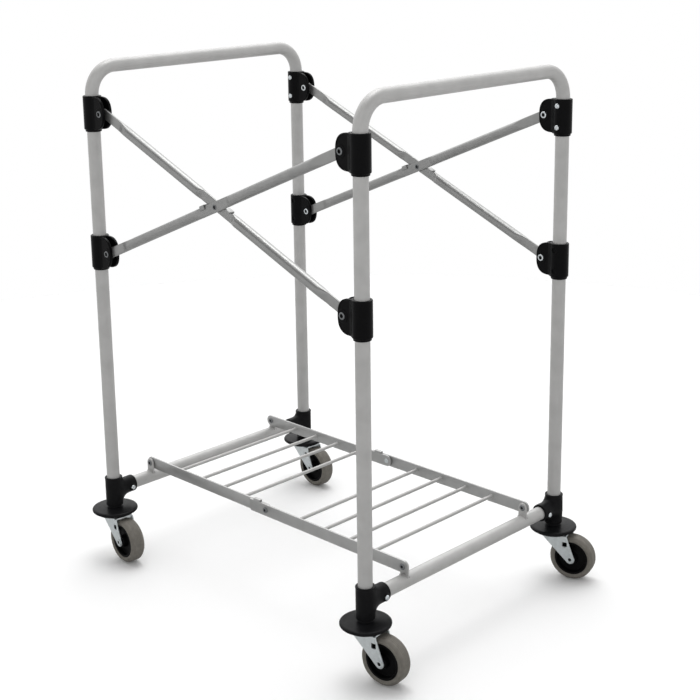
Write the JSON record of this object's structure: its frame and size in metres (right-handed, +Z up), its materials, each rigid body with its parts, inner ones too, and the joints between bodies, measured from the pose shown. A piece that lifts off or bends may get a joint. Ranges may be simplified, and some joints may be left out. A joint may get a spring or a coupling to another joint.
{
  "type": "laundry cart",
  "caption": "Folding laundry cart frame: two tube end frames, crossed braces that fold on sliding clamps, a folding wire shelf and swivel casters.",
  "frame": {"origin": "on the floor, under the middle of the whole cart's box as it stands open with its casters trailing to +X", "axes": "+Z up, +X from the left end frame to the right one along the way the cart folds, +Y from the near side to the far side, along the handles"},
  "size_m": [0.7208, 0.534, 0.864],
  "materials": {
    "frame_coat": "satin silver-grey powder coat",
    "brace_coat": "satin silver-grey powder coat, a little darker",
    "black_plastic": "satin moulded black",
    "zinc": "bright zinc plate",
    "tyre": "matt grey rubber"
  },
  "bodies": {
    "frame_left": {"end_frame_tube_left": "frame_coat", "cross_tube_left": "frame_coat", "corner_casting_near_left": "black_plastic", "bumper_near_left": "black_plastic", "upper_clamp_near_left": "black_plastic", "upper_clamp_pin_near_left": "zinc", "shelf_end_pin_near_left": "zinc", "corner_casting_far_left": "black_plastic", "bumper_far_left": "black_plastic", "upper_clamp_far_left": "black_plastic", "upper_clamp_pin_far_left": "zinc", "shelf_end_pin_far_left": "zinc"},
    "frame_right": {"end_frame_tube_right": "frame_coat", "cross_tube_right": "frame_coat", "corner_casting_near_right": "black_plastic", "bumper_near_right": "black_plastic", "upper_clamp_near_right": "black_plastic", "upper_clamp_pin_near_right": "zinc", "shelf_end_pin_near_right": "zinc", "corner_casting_far_right": "black_plastic", "bumper_far_right": "black_plastic", "upper_clamp_far_right": "black_plastic", "upper_clamp_pin_far_right": "zinc", "shelf_end_pin_far_right": "zinc"},
    "falling_near": {"falling_brace_near": "brace_coat", "brace_rivet_near": "zinc"},
    "rising_near": {"rising_brace_near": "brace_coat"},
    "slider_near_left": {"lower_clamp_near_left": "black_plastic", "lower_clamp_pin_near_left": "zinc"},
    "caster_near_left": {"caster_fork_near_left": "zinc", "wheel_axle_near_left": "zinc"},
    "wheel_near_left": {"wheel_tyre_near_left": "tyre", "wheel_hub_near_left": "black_plastic"},
    "slider_near_right": {"lower_clamp_near_right": "black_plastic", "lower_clamp_pin_near_right": "zinc"},
    "caster_near_right": {"caster_fork_near_right": "zinc", "wheel_axle_near_right": "zinc"},
    "wheel_near_right": {"wheel_tyre_near_right": "tyre", "wheel_hub_near_right": "black_plastic"},
    "falling_far": {"falling_brace_far": "brace_coat", "brace_rivet_far": "zinc"},
    "rising_far": {"rising_brace_far": "brace_coat"},
    "slider_far_left": {"lower_clamp_far_left": "black_plastic", "lower_clamp_pin_far_left": "zinc"},
    "caster_far_left": {"caster_fork_far_left": "zinc", "wheel_axle_far_left": "zinc"},
    "wheel_far_left": {"wheel_tyre_far_left": "tyre", "wheel_hub_far_left": "black_plastic"},
    "slider_far_right": {"lower_clamp_far_right": "black_plastic", "lower_clamp_pin_far_right": "zinc"},
    "caster_far_right": {"caster_fork_far_right": "zinc", "wheel_axle_far_right": "zinc"},
    "wheel_far_right": {"wheel_tyre_far_right": "tyre", "wheel_hub_far_right": "black_plastic"},
    "shelf_left": {"shelf_half_left": "brace_coat"},
    "shelf_right": {"shelf_half_right": "brace_coat", "shelf_centre_pin_near": "zinc", "shelf_centre_pin_far": "zinc"}
  },
  "joints": [
    {"name": "fold", "type": "hinge", "parent": "frame_left", "child": "falling_near", "pos_m": [-0.29141, -0.228, 0.78], "axis": [0, 1, 0], "range_deg": [0, 55]},
    {"name": "brace_crossing_near", "type": "hinge", "parent": "falling_near", "child": "rising_near", "pos_m": [-0.01741, -0.228, 0.664], "axis": [0, 1, 0], "range_deg": [-110, 0]},
    {"name": "right_frame_pivot", "type": "hinge", "parent": "rising_near", "child": "frame_right", "pos_m": [0.25659, -0.228, 0.78], "axis": [0, 1, 0], "range_deg": [0, 55]},
    {"name": "slider_pivot_near_left", "type": "hinge", "parent": "rising_near", "child": "slider_near_left", "pos_m": [-0.29141, -0.228, 0.548], "axis": [0, 1, 0], "range_deg": [0, 55]},
    {"name": "slider_pivot_near_right", "type": "hinge", "parent": "falling_near", "child": "slider_near_right", "pos_m": [0.25659, -0.228, 0.548], "axis": [0, 1, 0], "range_deg": [-55, 0]},
    {"name": "fold_far", "type": "hinge", "parent": "frame_left", "child": "falling_far", "pos_m": [-0.29141, 0.228, 0.78], "axis": [0, 1, 0], "range_deg": [0, 55]},
    {"name": "brace_crossing_far", "type": "hinge", "parent": "falling_far", "child": "rising_far", "pos_m": [-0.01741, 0.228, 0.664], "axis": [0, 1, 0], "range_deg": [-110, 0]},
    {"name": "slider_pivot_far_left", "type": "hinge", "parent": "rising_far", "child": "slider_far_left", "pos_m": [-0.29141, 0.228, 0.548], "axis": [0, 1, 0], "range_deg": [0, 55]},
    {"name": "slider_pivot_far_right", "type": "hinge", "parent": "falling_far", "child": "slider_far_right", "pos_m": [0.25659, 0.228, 0.548], "axis": [0, 1, 0], "range_deg": [-55, 0]},
    {"name": "shelf_hinge_left", "type": "hinge", "parent": "frame_left", "child": "shelf_left", "pos_m": [-0.32141, 0, 0.1455], "axis": [0, -1, 0], "range_deg": [0, 72.36]},
    {"name": "shelf_hinge_right", "type": "hinge", "parent": "frame_right", "child": "shelf_right", "pos_m": [0.28659, 0, 0.1455], "axis": [0, 1, 0], "range_deg": [0, 72.36]},
    {"name": "swivel_near_left", "type": "hinge", "parent": "frame_left", "child": "caster_near_left", "pos_m": [-0.32141, -0.228, 0.0375], "axis": [0, 0, 1], "continuous": true},
    {"name": "roll_near_left", "type": "hinge", "parent": "caster_near_left", "child": "wheel_near_left", "pos_m": [-0.28555, -0.23114, 0.0375], "axis": [0.0872, 0.9962, 0], "continuous": true},
    {"name": "swivel_near_right", "type": "hinge", "parent": "frame_right", "child": "caster_near_right", "pos_m": [0.28659, -0.228, 0.0375], "axis": [0, 0, 1], "continuous": true},
    {"name": "roll_near_right", "type": "hinge", "parent": "caster_near_right", "child": "wheel_near_right", "pos_m": [0.32223, -0.22299, 0.0375], "axis": [-0.1392, 0.9903, 0], "continuous": true},
    {"name": "swivel_far_left", "type": "hinge", "parent": "frame_left", "child": "caster_far_left", "pos_m": [-0.32141, 0.228, 0.0375], "axis": [0, 0, 1], "continuous": true},
    {"name": "roll_far_left", "type": "hinge", "parent": "caster_far_left", "child": "wheel_far_left", "pos_m": [-0.28546, 0.22612, 0.0375], "axis": [0.0523, 0.9986, 0], "continuous": true},
    {"name": "swivel_far_right", "type": "hinge", "parent": "frame_right", "child": "caster_far_right", "pos_m": [0.28659, 0.228, 0.0375], "axis": [0, 0, 1], "continuous": true},
    {"name": "roll_far_right", "type": "hinge", "parent": "caster_far_right", "child": "wheel_far_right", "pos_m": [0.32082, 0.23913, 0.0375], "axis": [-0.309, 0.9511, 0], "continuous": true}
  ],
  "couplings": [
    {"joint": "brace_crossing_near", "follows": "fold", "ratio": -2},
    {"joint": "right_frame_pivot", "follows": "fold", "ratio": 1},
    {"joint": "slider_pivot_near_left", "follows": "fold", "ratio": 1},
    {"joint": "slider_pivot_near_right", "follows": "fold", "ratio": -1},
    {"joint": "fold_far", "follows": "fold", "ratio": 1},
    {"joint": "brace_crossing_far", "follows": "fold", "ratio": -2},
    {"joint": "slider_pivot_far_left", "follows": "fold", "ratio": 1},
    {"joint": "slider_pivot_far_right", "follows": "fold", "ratio": -1},
    {"joint": "shelf_hinge_left", "follows": "fold", "ratio": 1.3156},
    {"joint": "shelf_hinge_right", "follows": "fold", "ratio": 1.3156}
  ]
}
